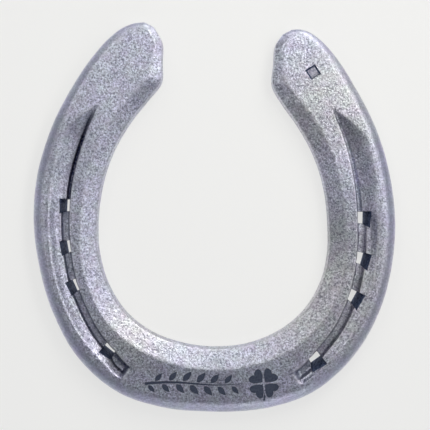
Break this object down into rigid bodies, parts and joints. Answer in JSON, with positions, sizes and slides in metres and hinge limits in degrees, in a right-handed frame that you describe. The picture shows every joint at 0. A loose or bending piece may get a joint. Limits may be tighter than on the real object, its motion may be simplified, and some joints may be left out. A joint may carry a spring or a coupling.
{
  "type": "horseshoe",
  "caption": "Forged steel horseshoe with rounded heels, a nail crease with tapered nail holes in each branch, a sloped inner bevel and a clover mark at the toe.",
  "frame": {"origin": "middle of the foot side, under the centre of the shoe's outline", "axes": "+Z from the foot side to the ground side with the creases, +Y from the toe to the heels, +X to the branch with the punch mark"},
  "size_m": [0.1304, 0.1402, 0.008],
  "materials": {
    "blasted_steel": "shot-blasted grey steel with a fine sparkling grain"
  },
  "bodies": {
    "root": {"horseshoe": "blasted_steel"}
  },
  "joints": []
}
